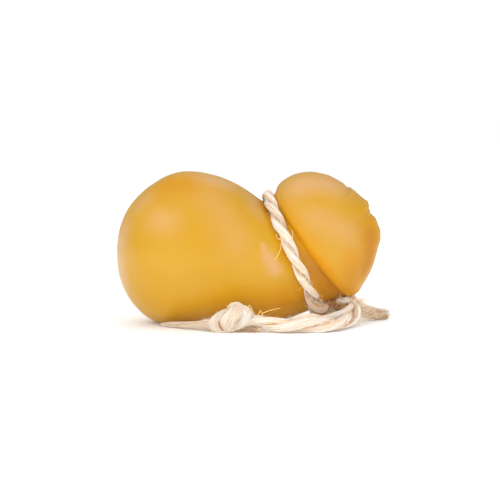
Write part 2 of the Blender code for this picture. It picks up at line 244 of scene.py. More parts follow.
NECK_PITCH = 28.0  # the length in which the two plies go once round each other
TAIL_PITCH = 42.0
NECK_PHASE = 0.28
TAIL_PHASE = 1.50
LAID_DIAMETER = 5.7  # of the fluffy neck twine, over its CAD solid's
NECK_DIAMETERS = ((0, 6.0), (6, 8.0), (12, 8.6), (20, 7.6), (30, LAID_DIAMETER))  # by distance from its ends
# How brown the neck twine is towards its ends at the knot: part smoke stain, part painted shade under the
# head.
NECK_SHADES = ((0, 1.2), (5, 0.7), (10, 0.45), (22, 0.35), (34, 0.1), (60, 0.0))
TAIL_WIDTHS = (0.86, 0.96, 1.06, 1.12, 1.12, 1.12, 1.12, 1.12, 1.0, 0.86)  # along it, over its diameter
TAIL_OPENING = 0.12  # how much further apart its plies start, in diameters
OPENING_RUN = 9.0  # how soon they close up
FIBRE_STEP = 1.2  # between the points of a fibre
HAIR_STEP = 0.9  # between the points of a stray hair
HAIR_ROOT = 0.85  # how far out a stray hair starts, as a share of the twine's radius
HAIR_TIP = 0.4  # its thickness at the tip, over that at its root
LOWEST = 0.06  # no fibre lies lower, so that none sinks into the ground
FIBRES_PER_PLY = 48
PLY_APART = 0.23  # the plies' distance from the middle line, and their half sizes, in diameters
PLY_HALF_THICK = 0.28
PLY_HALF_WIDE = 0.31
CORE = 0.88  # the core's size as a share of its ply's
# The cores are tinted darker, as painted shade in the gaps between the fibres.
CORE_TINT = 0.7
FIBRE_PITCH = 3.0  # the length in which a fibre goes once round its ply, in pitches of the twine
BROWN_FIBRE = 0.8  # how much browner a few fibres are, and their share
BROWN_SHARE = 0.09
GROOVE_SHADE = 1.15  # how much darker the fibres are painted down between two plies, as shade
GROOVE_REACH = 0.37  # where they start to darken and over what way, in diameters from the middle line
GROOVE_RUN = 0.08
BAND_CORE = (0.86, 0.84)  # the core's width and thickness as shares of a flattened strand's
BAND_PITCH = 70.0  # the length in which a fibre goes once round it
SHORT_END_PITCH = 40.0
# How brown the short end is: part a dirtier strand, part painted shade under the head.
SHORT_END_SHADE = 0.65
SHORT_END_TIPS = 110
FRAYED_FIBRES = 150
FRAYED_SPREAD = 0.38  # how far out they lie, as a share of the bunch's diameter
LOOSE_FIBRE_RADII = (0.17, 0.09)
# Golden: warm light from the rind, painted on the loose fibres.
LOOSE_FIBRE_TINT = -0.9
END_KNOT_FIBRES = 110
NECK_KNOT_FIBRES = 60
SHORT_END_FIBRES = 80
LOOSE_STRAND_FIBRES = 50

# How thick the fibres are, and how far out they lie on their ply or strand.
FIBRE_RADII = (0.08, 0.18)
BAND_RADII = (0.07, 0.16)
FRAYED_RADII = (0.09, 0.16)
FIBRE_REACH = (0.88, 1.03)
BAND_REACH = (0.86, 1.03)

# How unevenly the twine is laid: the size of each wander, and the points over which it changes.
PLY_TURN = (0.08, 9)
PLY_SWELL = (0.05, 6)
FIBRE_TURN = (0.14, 6)
FIBRE_RISE = (0.03, 6)
BAND_TURN = (0.16, 5)
BAND_RISE = (0.04, 5)
FRAY = (0.25, 8)
# How the painted shade down between the plies comes and goes, in dots.
GROOVE_DOTS = (0.6, 1.4)
SPECKLE = (0.3, 1.3)

# The knots' strands: x, y, z, width, thickness and shade. The end knot's makes one loop and goes through it.
END_KNOT_ROUTE = (
    (6.2, -38.7, 5.2, 4.8, 4.4, 0.0),
    (3.0, -38.9, 5.3, 4.8, 4.4, 0.0),
    (0.0, -38.0, 5.2, 5.0, 4.4, 0.1),
    (-3.4, -36.6, 5.0, 5.0, 4.4, 0.3),
    (-7.0, -35.4, 6.2, 5.2, 4.4, 0.2),
    (-10.0, -36.8, 7.9, 5.4, 4.4, 0.1),
    (-13.0, -38.4, 6.3, 5.8, 4.4, 0.1),
    (-15.4, -39.6, 4.5, 5.6, 4.4, 0.1),
    (-14.6, -40.2, 2.8, 5.2, 4.4, 0.1),
    (-12.0, -40.2, 2.2, 4.8, 4.2, 0.2),
    (-8.8, -39.4, 2.5, 4.4, 4.2, 0.3),
    (-5.2, -38.8, 3.8, 5.2, 4.2, 0.2),
    (-2.2, -39.6, 5.6, 6.0, 4.2, 0.1),
    (-0.9, -39.9, 7.4, 6.2, 4.2, 0.0),
    (-1.6, -38.8, 9.0, 6.0, 4.2, 0.0),
    (-3.4, -36.4, 9.8, 5.6, 4.2, 0.0),
    (-5.4, -34.0, 8.6, 5.2, 4.0, 0.1),
    (-7.4, -32.9, 7.8, 5.2, 4.0, 0.1),
    (-7.2, -33.9, 9.8, 5.6, 4.0, 0.1),
    (-5.6, -36.6, 11.1, 5.8, 4.2, 0.0),
    (-5.2, -39.8, 10.6, 6.0, 4.2, 0.0),
    (-7.0, -41.7, 8.4, 6.2, 4.2, 0.0),
    (-9.6, -42.2, 5.2, 6.2, 4.2, 0.0),
    (-11.2, -41.2, 2.8, 5.6, 4.0, 0.1),
    (-12.4, -38.0, 2.9, 5.0, 4.0, 0.3),
    (-16.8, -35.4, 3.3, 4.2, 3.6, 0.4),
    (-20.6, -33.3, 3.3, 3.8, 3.4, 0.5),
)
# A dark fibre that paints the shadow in the end knot's cleft, brown fibres that paint the shadow under the
# tail beside the knot, and fluff above it.
KNOT_CLEFT = ((-13.4, -42.6, 5.6), (-13.4, -43.4, 4.2), (-12.8, -43.6, 2.8), (-11.6, -43.4, 1.4))
KNOT_CLEFT_LOOK = (0.32, 2.0)  # its radius and tint
KNOT_SHADOW_FIBRES = ((-5.0, -38.6, 1.6), (0.0, -39.0, 1.9), (5.0, -39.6, 1.6))
KNOT_FLUFF = ((0.6, -39.4, 8.6), (2.2, -39.2, 7.0), (4.6, -38.8, 5.8))
# The neck knot's browner strands, shade 1.2 to 2.0, are painted shade where it lies under the head.
NECK_KNOT_ROUTE = (
    (36.4, -9.4, 9.4, 4.0, 3.4, 1.3),
    (39.0, -8.6, 9.6, 5.0, 4.0, 2.0),
    (41.8, -7.2, 9.8, 5.4, 4.0, 2.0),
    (45.0, -4.6, 9.8, 5.0, 4.0, 1.7),
    (48.4, -2.0, 8.6, 5.0, 4.0, 1.2),
    (49.4, 1.2, 7.6, 5.0, 3.8, 1.1),
    (46.6, 2.4, 6.0, 5.0, 3.6, 1.1),
    (43.8, 0.6, 4.8, 5.0, 3.6, 1.2),
    (41.6, -4.6, 5.4, 5.0, 3.6, 1.6),
    (41.8, -7.8, 7.6, 4.6, 3.4, 1.6),
    (43.8, -9.2, 8.8, 4.4, 3.2, 1.4),
    (46.6, -9.0, 9.0, 4.2, 3.0, 1.2),
    (48.6, -7.4, 9.6, 4.0, 3.0, 1.2),
    (47.2, -5.8, 11.0, 3.8, 2.8, 0.9),
    (44.2, -6.6, 11.8, 3.6, 2.6, 0.5),
    (42.4, -8.6, 11.4, 3.2, 2.4, 0.3),
    (43.8, -10.0, 11.6, 3.0, 2.4, 0.0),
    (46.4, -10.0, 11.6, 3.0, 2.4, 0.0),
    (47.8, -8.4, 12.0, 3.4, 2.6, 0.3),
    (48.6, -7.0, 12.8, 4.0, 3.0, 0.6),
    (49.3, -8.8, 11.9, 4.0, 3.0, 0.5),
    (49.7, -9.2, 9.6, 4.0, 3.0, 0.4),
    (49.4, -7.6, 7.2, 3.8, 3.0, 0.8),
    (47.4, -5.4, 5.4, 3.6, 3.0, 1.4),
)
END_KNOT_MIDDLE = (-6.5, -22.0, 3.0)  # the knots' flattened strands face away from these
NECK_KNOT_MIDDLE = (46.5, 6.0, 6.0)

# The tufts at the neck knot: foot, lean, number of fibres, and their shortest and longest.
TUFTS = (
    ((50.6, -5.0, 9.4), (0.8, -0.1, 0.55), 90, (3.5, 8.5)),
    ((50.6, -13.6, 5.0), (0.9, -0.15, -0.35), 50, (1.5, 6.0)),
)

# Fuzz: how far out it starts, its hairs, their shortest and longest, how much they stand up, tint, radius.
TAIL_FUZZ = (TAIL_DIAMETER / 2, 150, (1.2, 4.0), 0.7, 0.5, 0.07)
END_KNOT_FUZZ = (
    (2.3, 260, (0.8, 2.4), 1.0, -0.6, 0.1),
    (2.3, 1500, (0.8, 1.8), 0.5, 0.2, 0.1),
)
KNOT_SHADOW_FUZZ = (0.8, 160, (1.0, 3.0), 0.6, 1.7, 0.12)
KNOT_FLUFF_FUZZ = (0.9, 300, (0.8, 2.0), 0.5, 0.2, 0.1)
# The neck knot's brown fuzz, tint 1.8, is painted shade in its hollow under the head.
NECK_KNOT_FUZZ = (
    (1.8, 260, (1.0, 3.0), 1.0, -0.7, 0.11),
    (1.7, 500, (0.8, 2.0), 0.6, 1.8, 0.12),
    (1.7, 300, (0.8, 1.8), 0.6, 0.4, 0.11),
)
NECK_END_FUZZ = (3.5, 600, (1.0, 2.6), 0.25, 0.85, 0.13)
NECK_END_STEPS = 28  # how far along each end of the neck twine it lies, in fuzz steps
NECK_TWINE_FUZZ = (
    (LAID_DIAMETER / 2, 300, (0.8, 2.2), 0.6, -0.6, 0.09),
    (LAID_DIAMETER * 0.35, 2600, (0.8, 1.8), 0.3, 0.15, 0.09),
)
# The short end's brown fuzz, tint 1.8, is painted shade between its fibres.
SHORT_END_FUZZ = (
    (2.5, 260, (1.2, 3.0), 0.9, -0.6, 0.11),
    (2.5, 500, (0.8, 2.0), 0.5, 1.8, 0.12),
    (2.6, 500, (0.8, 2.0), 0.5, 0.2, 0.11),
)
FUZZ_STEP = 0.8  # between the places along a stretch where its fuzz can start
KNOT_STEP = 0.5  # between the points of the small routes at the end knot, and of the loose fibres

# Fibres that have come loose: their routes, which start on the twine.
LOOSE_FIBRES = (
    ((17.0, -31.5, 42.6), (15.2, -33.6, 41.0), (14.9, -34.6, 38.6), (13.7, -35.4, 35.8), (12.0, -35.8, 33.1)),
    ((16.6, -31.0, 44.0), (13.9, -32.6, 42.6), (12.9, -33.2, 44.0), (12.6, -33.4, 45.4)),
    ((19.0, -31.8, 41.4), (20.1, -32.6, 42.6), (20.5, -33.2, 44.7), (20.0, -33.4, 47.0)),
    ((26.4, -26.0, 20.6), (25.0, -27.0, 19.8), (22.9, -28.0, 18.1)),
    ((32.0, -20.0, 14.0), (33.4, -21.0, 14.8), (35.2, -21.4, 14.8)),
    ((31.6, -20.0, 13.6), (33.6, -21.0, 13.2), (34.8, -21.0, 11.8)),
    ((3.4, -42.4, 7.0), (5.4, -42.9, 10.4), (5.6, -42.9, 10.4), (7.2, -42.6, 7.1)),
    ((-0.8, -41.0, 9.8), (0.3, -41.6, 12.8), (0.5, -41.6, 12.8), (1.9, -41.4, 9.8), (1.0, -41.2, 8.4)),
    ((6.0, -41.0, 8.0), (7.0, -41.2, 9.3), (10.8, -41.6, 10.7), (14.6, -41.8, 11.6)),
    ((-9.4, -39.0, 10.4), (-9.7, -39.4, 11.6), (-10.4, -39.6, 12.7)),
    ((-9.4, -39.0, 10.4), (-9.5, -39.6, 11.6), (-9.0, -39.8, 12.8)),
    ((-5.4, -39.0, 12.6), (-7.0, -39.4, 13.8), (-8.7, -39.2, 13.3)),
    ((5.6, -42.0, 2.4), (4.6, -43.6, 2.0), (3.6, -45.0, 1.0), (2.8, -46.2, 0.2)),
    ((8.4, -42.6, 1.8), (8.8, -44.4, 1.2), (8.8, -46.0, 0.2)),
    ((-15.6, -41.4, 2.2), (-16.4, -43.0, 1.0), (-17.4, -45.0, 0.2)),
)

# A strand that has come out of the tail and rises to the knot beside it, in the knots' columns.
LOOSE_STRAND = (
    (20.1, -39.5, 5.2, 2.4, 2.0, 0.1),
    (25.1, -37.6, 6.2, 3.0, 2.4, 0.0),
    (29.4, -35.0, 6.4, 3.4, 2.6, 0.0),
    (34.1, -31.5, 5.2, 3.4, 2.8, 0.0),
    (38.9, -26.5, 5.6, 3.4, 2.8, 0.0),
    (43.4, -21.0, 6.4, 3.2, 2.8, 0.0),
    (46.9, -16.0, 7.8, 3.2, 2.6, 0.1),
    (49.0, -12.0, 9.4, 3.0, 2.4, 0.3),
)
LOOSE_STRAND_MIDDLE = (38.0, -14.0, 4.0)  # its flat side faces away from this


# ---- small helpers


def hermite(start, end, start_pull, end_pull, t):
    a, b, p, q = (np.array(v, float) for v in (start, end, start_pull, end_pull))
    return (
        a * (2 * t**3 - 3 * t**2 + 1)
        + p * (t**3 - 2 * t**2 + t)
        + b * (3 * t**2 - 2 * t**3)
        + q * (t**3 - t**2)
    )


def distances_along(points):
    steps = np.linalg.norm(np.diff(np.asarray(points)[:, :3], axis=0), axis=1)
    return np.concatenate([[0], np.cumsum(steps)])


def resampled(points, step):
    """Points evenly spaced along a polyline, about one step apart. Further columns follow along."""
    points = np.array(points, float)
    along = distances_along(points)
    wanted = np.linspace(0, along[-1], max(3, round(along[-1] / step) + 1))
    return np.stack([np.interp(wanted, along, column) for column in points.T], axis=1)


def smooth_route(points, step):
    """Points about one step apart on the Catmull-Rom curve through a route's points."""
    route = [np.array(p, float) for p in points]
    route = [2 * route[0] - route[1], *route, 2 * route[-1] - route[-2]]
    fine = []
    for before, a, b, after in zip(route, route[1:], route[2:], route[3:]):
        for t in np.arange(0, 1, 0.02):
            fine.append(hermite(a, b, (b - before) / 2, (after - a) / 2, t))
    fine.append(route[-2])
    return resampled(fine, step)


def in_plane(point):
    return np.array([point[0], 0.0, point[1]])


def unit(vectors):
    return vectors / np.maximum(np.linalg.norm(vectors, axis=-1, keepdims=True), 1e-9)


def link(item):
    bpy.context.scene.collection.objects.link(item)


def mesh_piece(name, points, faces, material, attributes):
    """A smooth-shaded piece from points in millimetres, which rides on the object's one body."""
    mesh = bpy.data.meshes.new(name)
    mesh.from_pydata((np.asarray(points) * MM).tolist(), [], faces)
    for key, values in attributes.items():
        layer = mesh.attributes.new(key, "FLOAT", "POINT")
        layer.data.foreach_set("value", np.asarray(values, np.float32))
    mesh.shade_smooth()
    mesh.validate()
    mesh.materials.append(material)
    piece = bpy.data.objects.new(name, mesh)
    link(piece)
    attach(piece, BODY)
    return piece


# ---- material nodes


class Nodes:
    """A short way to write the nodes of a material or of the world."""

    def __init__(self, owner):
        self.owner = owner
        owner.use_nodes = True
        self.tree = owner.node_tree

    def add(self, kind, inputs=None, **settings):
        node = self.tree.nodes.new("ShaderNode" + kind)
        for key, value in settings.items():
            setattr(node, key, value)
        self.fill(node, inputs or {})
        return node

    def fill(self, node, inputs):
        """Sets a node's inputs, each to a value or to another node's output."""
        for key, value in inputs.items():
            if isinstance(value, bpy.types.NodeSocket):
                self.tree.links.new(value, node.inputs[key])
            else:
                node.inputs[key].default_value = value

    def finish(self, last, inputs):
        """Sets the inputs of the tree's last node, and gives back what the nodes belong to."""
        self.fill(self.tree.nodes[last], inputs)
        return self.owner

    def noise(self, scale, detail=3.0, roughness=0.55):
        inputs = {"Scale": scale, "Detail": detail, "Roughness": roughness}
        inputs["Vector"] = self.add("TexCoord").outputs["Object"]
        return self.add("TexNoise", inputs).outputs["Fac"]

    def ramp(self, value, low, high, to_low=0.0, to_high=1.0):
        inputs = {"Value": value, 1: low, 2: high, 3: to_low, 4: to_high}
        return self.add("MapRange", inputs).outputs["Result"]

    def mix(self, share, a, b):
        return self.add("Mix", {0: share, 6: a, 7: b}, data_type="RGBA").outputs[2]

    def attribute(self, name):
        return self.add("Attribute", attribute_name=name).outputs["Fac"]

    def bump(self, height, distance, strength, normal=None):
        inputs = {"Height": height, "Distance": distance, "Strength": strength}
        if normal:
            inputs["Normal"] = normal
        return self.add("Bump", inputs).outputs["Normal"]


def colour(red, green, blue):
    """A linear colour from the 0 to 255 values of a screen colour."""
    def linear(value):
        share = value / 255
        return share / 12.92 if share <= 0.04045 else ((share + 0.055) / 1.055) ** 2.4
    return (linear(red), linear(green), linear(blue), 1.0)


def rind_material():
    """Smoked rind: waxy amber with a soft sheen. Painted shade deepens it in folds, dents and low places, and
    painted highlights and warm light brighten it; on the back it is smoke-stained and dry.
    """
    n = Nodes(bpy.data.materials.new("smoked_rind"))
    amber = colour(187, 140, 15)
    pale = colour(191, 147, 40)
    deep = colour(191, 132, 0)
    brown = colour(168, 104, 8)
    pale_bloom_and_highlight = colour(197, 153, 100)
    glow = colour(214, 150, 6)
    base = n.mix(n.ramp(n.noise(24.0, 2.0), 0.35, 0.65), amber, pale)
    base = n.mix(n.ramp(n.noise(110.0, 4.0, 0.6), 0.45, 0.75, 0.0, 0.2), base, deep)
    # Paler where the rind has a dry bloom, and with painted highlights and sheen.
    base = n.mix(n.attribute("bloom_and_highlight"), base, pale_bloom_and_highlight)
    # Deeper with smoke stains, and with painted shade.
    base = n.mix(n.attribute("stain_and_shade"), base, deep)
    # Painted warm light: off the ground, in the head's rolled-in edge and beside the twine.
    base = n.mix(n.attribute("glow"), base, glow)
    # Browner with painted shade in folds, creases and hollows.
    base = n.mix(n.attribute("fold_shade"), base, brown)
    rough = n.ramp(n.noise(60.0, 4.0), 0.3, 0.75, 0.28, 0.38)
    rough = n.ramp(n.attribute("stain_and_shade"), 0.0, 1.0, rough, STAIN_ROUGHNESS)
    normal = n.bump(n.noise(180.0, 3.0), 0.0010, 0.2)
    normal = n.bump(n.noise(900.0, 5.0, 0.65), 0.0003, 0.5, normal)
    normal = n.bump(n.noise(2600.0, 2.0, 0.5), 0.0001, 0.5, normal)
    return n.finish("Principled BSDF", {
        "Base Color": base,
        "Roughness": rough,
        "Normal": normal,
        "Specular IOR Level": 0.35,
        "Subsurface Weight": 0.5,
        "Subsurface Radius": (1.0, 0.5, 0.12),
        "Subsurface Scale": 0.006,
    })


def sisal_material():
    """Sisal. A fibre's tint runs from -1, golden, painted warm light from the rind, through 0, cream, and 1,
    tan, to 2, brown, for soiled fibres and for painted shade.
    """
    n = Nodes(bpy.data.materials.new("sisal"))
    gold = colour(245, 200, 110)
    cream = colour(249, 242, 230)
    tan = colour(231, 193, 147)
    brown = colour(162, 100, 24)
    tint = n.attribute("tint")
    base = n.mix(n.ramp(tint, 0.0, 1.0), cream, tan)
    base = n.mix(n.ramp(n.noise(420.0, 3.0), 0.5, 0.8, 0.0, 0.3), base, tan)
    base = n.mix(n.ramp(tint, 1.0, 2.0), base, brown)
    base = n.mix(n.ramp(tint, 0.0, -1.0), base, gold)
    return n.finish("Principled BSDF", {
        "Base Color": base,
        "Normal": n.bump(n.noise(5200.0, 2.0), 0.00006, 0.5),
        "Roughness": 0.6,
        "Sheen Weight": 0.25,
        "Subsurface Weight": 0.3,
        "Subsurface Radius": (1.0, 0.8, 0.55),
        "Subsurface Scale": 0.0012,
    })


# ---- the cheese


def underside(x):
    run = x - RISE_X
    return RISE_SLOPE * (run + math.hypot(run, RISE_WIDTH)) / 2 - FLAT_CUT


def ring_frame(top, low, yaw):
    """A section's centre, its half height and its half depth as vectors."""
    top, low = in_plane(top), in_plane(low)
    half = (top - low) / 2
    size = np.linalg.norm(half)
    ahead = np.array([half[2], 0, -half[0]]) / max(size, 1e-9)
    across = np.array([0, math.cos(yaw), 0]) + ahead * math.sin(yaw)
    return (top + low) / 2, half, across * size * DEPTH_RATIO


def belly_top(turn):
    return CREST_X + TOP_RADIUS * math.sin(turn), BELLY_HEIGHT - TOP_RADIUS * (1 - math.cos(turn))


def head_frame(height):
    """A section of the head, at a height above its rim."""
    ahead = np.array([math.cos(HEAD_TILT), 0, math.sin(HEAD_TILT)])
    up = np.array([-ahead[2], 0, ahead[0]])
    back = np.array([0, 1, 0])
    axis = ahead * math.cos(HEAD_YAW) - back * math.sin(HEAD_YAW)
    across = ahead * math.sin(HEAD_YAW) + back * math.cos(HEAD_YAW)
    share = min(height / HEAD_HEIGHT, 1.0)
    radius = HEAD_RADIUS * math.sqrt(1 - share * share)
    centre = in_plane(RIM_CENTRE) + axis * height + up * HEAD_BOW * math.sin(math.pi * share)
    return centre, up * radius, across * radius * DEPTH_RATIO


def belly_sections():
    """Sections from the belly's round end to its shoulder.

    Each comes with how much it is drawn in at the crease and rolled in, and its two shades: deeper with
    painted shade, and browner with painted shade in the creases.
    """
    for i in range(1, END_RINGS + 1):
        turn = math.pi / 2 * i / END_RINGS
        back, rise = math.cos(turn), math.sin(turn)
        top = (CREST_X - (CREST_X - END_X) * back, END_Z + (BELLY_HEIGHT - END_Z) * rise)
        low = (SOLE_X - (SOLE_X - END_X) * back, END_Z - (END_Z + FLAT_CUT) * rise)
        yield ring_frame(top, low, 0.0), 0.0, 0.0, (0.0, 0.0)
    for i in range(1, BELLY_RINGS + 1):
        share = i / BELLY_RINGS
        low_x = SOLE_X + (SHOULDER_LOW_X - SOLE_X) * share
        top = belly_top(TOP_SWEEP * share)
        yield ring_frame(top, (low_x, underside(low_x)), 0.0), 0.0, 0.0, (0.0, 0.0)


def neck_sections():
    """Sections from the shoulder down into the twine's notch, and up to the head's rim."""
    shoulder = belly_top(TOP_SWEEP)
    fall = np.array([math.cos(TOP_SWEEP), -math.sin(TOP_SWEEP)])
    rim_centre, rim_up, _ = head_frame(0.0)
    rim_top, rim_low = rim_centre + rim_up, rim_centre - rim_up
    half = NECK_RINGS // 2
    for i in range(1, half + 1):
        share = i / half
        top = hermite(shoulder, NECK_TOP, fall * SHOULDER_PULL, NECK_PULL_IN, share)
        low_x = SHOULDER_LOW_X + (NECK_LOW_X - SHOULDER_LOW_X) * share
        yield ring_frame(top, (low_x, underside(low_x)), 0.0), 0.0, 0.0, (0.0, 0.0)
    for i in range(1, half):
        share = i / half
        top = hermite(NECK_TOP, (rim_top[0], rim_top[2]), NECK_PULL_OUT, RIM_PULL, share)
        low_x = NECK_LOW_X + (rim_low[0] - NECK_LOW_X) * share
        low_z = underside(low_x) * (1 - share) + rim_low[2] * share
        crease = math.exp(-(((1 - share) * CREASE_START) ** 2))
        shades = (UNDERCUT_SHADE, WEDGE_SHADE * share**0.5)
        yield ring_frame(top, (low_x, low_z), HEAD_YAW * share), crease, share, shades


def head_sections():
    """Sections of the head, from its rim to just short of its pole."""
    for i in range(HEAD_RINGS):
        height = HEAD_HEIGHT * math.sin(math.pi / 2 * i / HEAD_RINGS)
        inside = max(1 - height / ROLL_WIDTH, 0)
        roll = 1 - math.sqrt(1 - inside * inside)
        crease = math.exp(-((height / CREASE_WIDTH) ** 2))
        yield head_frame(height), crease, roll, (math.exp(-((height / EDGE_SHADE_WIDTH) ** 2)), 0.0)


def section_points(section, crease, roll):
    """One section's ring: an ellipse, drawn in at the crease and where the head's edge rolls in."""
    centre, up, across = section
    turn = np.linspace(0, math.tau, SEGMENTS, endpoint=False)[:, None]
    depth = CREASE_DEPTH * crease + ROLL_DEPTH * roll * np.sin(turn) ** 2
    return centre + (up * np.cos(turn) + across * np.sin(turn)) * (1 - depth / HEAD_RADIUS)


def fold_angles(points):
    """Each point's direction from the rim's centre, and its angle, in which the folds run."""
    away = points - in_plane(RIM_CENTRE)
    wave = FOLD_WAVE * np.sin(points[:, 1] / FOLD_WAVE_RUN)
    return away, np.degrees(np.arctan2(away[:, 2], away[:, 0])) + wave


def folded(points):
    """The points moved in or out by the folds in the head's end."""
    away, angles = fold_angles(points)
    offsets = np.interp(angles, *np.array(HEAD_FOLDS).T, left=0, right=0)
    offsets *= np.exp(-((points[:, 1] / FOLD_REACH) ** 2))
    return points + unit(away) * offsets[:, None]


def pressed_in(points, middle):
    """The points moved towards the cheese's middle line by the dents near them."""
    for place, radius, depth in DENTS:
        reach = np.linalg.norm(points - np.array(place), axis=1) / radius
        points = points + unit(middle - points) * (depth * np.exp(-(reach**2)))[:, None]
    return points


def nearest_on(points, route):
    """The nearest place on a route to each point."""
    starts, runs = route[:-1], np.diff(route, axis=0)
    along = np.sum((points[:, None] - starts) * runs, axis=2) / np.sum(runs * runs, axis=1)
    nearest = starts + runs * np.clip(along, 0, 1)[:, :, None]
    closest = np.argmin(np.linalg.norm(points[:, None] - nearest, axis=2), axis=1)
    return nearest[np.arange(len(points)), closest]


def clear_of_twine(points, route, clearance):
    """The points pushed out of the channel that the twine presses in, and their distance from it."""
    nearest = nearest_on(points, route)
    away = points - nearest
    distance = np.linalg.norm(away, axis=1)
    pushed = nearest + unit(away) * clearance
    return np.where((distance < clearance)[:, None], pushed, points), distance


def fold_line_shades(points):
    """How much painted shade each point of the head takes from the folds in its end."""
    _, angles = fold_angles(points)
    shade = np.zeros(len(points))
    for angle, strength in FOLD_SHADE_LINES:
        shade = np.maximum(shade, strength * np.exp(-(((angles - angle) / FOLD_LINE_WIDTH) ** 2)))
    shade = shade * np.exp(-((points[:, 1] / FOLD_LINE_REACH) ** 2))
    return shade * (points[:, 0] > RIM_CENTRE[0] + FOLD_LINE_START)


def lumps(points, size, seed):
    """Soft noise at each point, about -0.5 to 0.5, with lumps of a given size."""
    offset = Vector((seed, seed * 0.7, -seed))
    return np.array([noise.noise(Vector(p) / size + offset) for p in points])


def patched(points, patches):
    """How much each point takes of the colour of some patches."""
    shade = np.zeros(len(points))
    for start, end, radius, strength in patches:
        reach = np.linalg.norm(points - nearest_on(points, np.array([start, end])), axis=1) / radius
        shade = np.maximum(shade, strength * np.exp(-(reach**2)))
    return shade


def grid_normals(grid):
    """The outward direction at each point of a stack of rings."""
    along = np.gradient(grid, axis=0)
    across = np.roll(grid, -1, axis=1) - np.roll(grid, 1, axis=1)
    normals = unit(np.cross(across, along))
    outward = grid - grid.mean(axis=1, keepdims=True)
    return normals if np.sum(normals * outward) > 0 else -normals


def cheese_mesh():
    """The rind's points and faces, and how much each point takes of each of its shades."""
    route = neck_route()
    turn = np.linspace(0, math.tau, SEGMENTS, endpoint=False)
    sides = np.where(np.cos(turn) < 0, 1, np.sin(turn) ** 2)
    rings, folds, ring_shades, beside = [], [], [], []
    for section, crease, roll, (stain_and_shade, fold_shade) in [*belly_sections(), *neck_sections(), *head_sections()]:
        ring = pressed_in(folded(section_points(section, crease, roll)), section[0])
        ring, near = clear_of_twine(ring, route, NECK_TWINE_DIAMETER / 2 + TWINE_CLEARANCE)
        rings.append(ring)
        # Painted shade beside the twine, in the crease and low on the neck under the head's edge, and painted
        # warm light beside the twine and along that edge.
        near = np.maximum(near - NECK_TWINE_DIAMETER / 2, 0)
        low = np.clip((WEDGE_TOP - ring[:, 2]) / WEDGE_FADE, 0, 1)
        wedge = np.maximum(CREASE_SHADE * crease, fold_shade) * sides * low
        folds.append(np.maximum(CREASE_SHADE * np.exp(-(near**2)), wedge))
        ring_shades.append(stain_and_shade * sides)
        edge = np.maximum(stain_and_shade**3, crease * (1 - low))
        twine_glow = TWINE_GLOW * np.exp(-((near / TWINE_GLOW_REACH) ** 2))
        beside.append(np.maximum(twine_glow, RIM_GLOW * edge * sides))
    grid = np.stack(rings)
    end_pole = np.array([[END_X, 0, END_Z]])
    head_pole = folded(head_frame(HEAD_HEIGHT)[0][None])
    axis = unit(head_pole - in_plane(RIM_CENTRE))
    points = np.concatenate([grid.reshape(-1, 3), end_pole, head_pole])
    outward = np.concatenate([grid_normals(grid).reshape(-1, 3), [[-1, 0, 0]], axis])
    folds = np.clip(np.concatenate([*folds, [0, 0]]), 0, 1)
    relief = sum(height * lumps(points, size, seed) for height, size, seed in RELIEF)
    points = points + outward * (relief * (1 - folds))[:, None]
    points[:, 2] = np.maximum(points[:, 2], 0.0)
    ground_glow = np.clip(1 - points[:, 2] / LOW_GLOW_TOP, 0, 1)
    ground_glow = ground_glow * np.clip((points[:, 0] - LOW_GLOW_START) / LOW_GLOW_RUN, 0, 1)
    shades = {
        # Deeper: smoke stains on the back, and painted shade on the front, along the head's edge and under
        # it.
        "stain_and_shade": np.maximum(patched(points, STAINS_AND_SHADE), np.concatenate([*ring_shades, [0, 0]])),
        # Browner: painted shade in the folds, creases and fold lines, and in the browned patches.
        "fold_shade": np.maximum(np.maximum(folds, fold_line_shades(points)), patched(points, PAINTED_SHADE_PATCHES)),
        # Paler: a dry bloom, and painted highlights and sheen.
        "bloom_and_highlight": patched(points, BLOOMS_AND_HIGHLIGHTS),
        "glow": np.maximum(ground_glow, np.concatenate([*beside, [0, 0]])),
    }
    return points, ring_faces(len(rings), SEGMENTS), shades


def ring_faces(ring_count, size):
    """Quads between successive rings, and fans to two poles, which are the last two points."""
    faces = []
    for i in range(ring_count - 1):
        a, b = i * size, (i + 1) * size
        for j in range(size):
            k = (j + 1) % size
            faces.append((a + k, a + j, b + j, b + k))
    first, last = ring_count * size, ring_count * size + 1
    end = (ring_count - 1) * size
    for j in range(size):
        k = (j + 1) % size
        faces.append((first, j, k))
        faces.append((last, end + k, end + j))
    return faces


def add_cheese(material):
    points, faces, shades = cheese_mesh()
    piece = mesh_piece("cheese_rind", points, faces, material, shades)
    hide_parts("cheese")


# ---- the twine's route round the neck


def neck_loop(steps):
    """Points of the loop's middle line round the neck, without its turn-off to the knot."""
    top, low = in_plane(LOOP_TOP), in_plane(LOOP_LOW)
    centre, half = (top + low) / 2, (top - low) / 2
    across = np.array([0, LOOP_SIDE, 0])
    turns = np.linspace(-math.pi + LOOP_OPEN, math.pi - LOOP_OPEN, steps)
    return np.array([centre + half * math.cos(t) + across * math.sin(t) for t in turns])


def neck_route():
    """The whole middle line of the neck twine: off the knot, round the neck and back to it."""
    loop = neck_loop(LOOP_STEPS)
    x, y, z = NECK_KNOT_CENTRE
    left, apart = x - NECK_KNOT_SIZE[0] / 2, LOOP_ENDS_APART / 2
    near_front = (left, y - apart, z - LOOP_ENDS_DROP)
    near_back = (left, y + apart, z - LOOP_ENDS_DROP)
    trimmed = loop[LOOP_TRIM:-LOOP_TRIM]
    front = smooth_route([near_front, LOOP_FRONT_TURN, loop[0], trimmed[0]], LOOP_TURN_STEP)
    back = smooth_route([trimmed[-1], loop[-1], LOOP_BACK_TURN, near_back], LOOP_TURN_STEP)
    return np.concatenate([front[:-1], trimmed, back[1:]])


# ---- fibres and plies


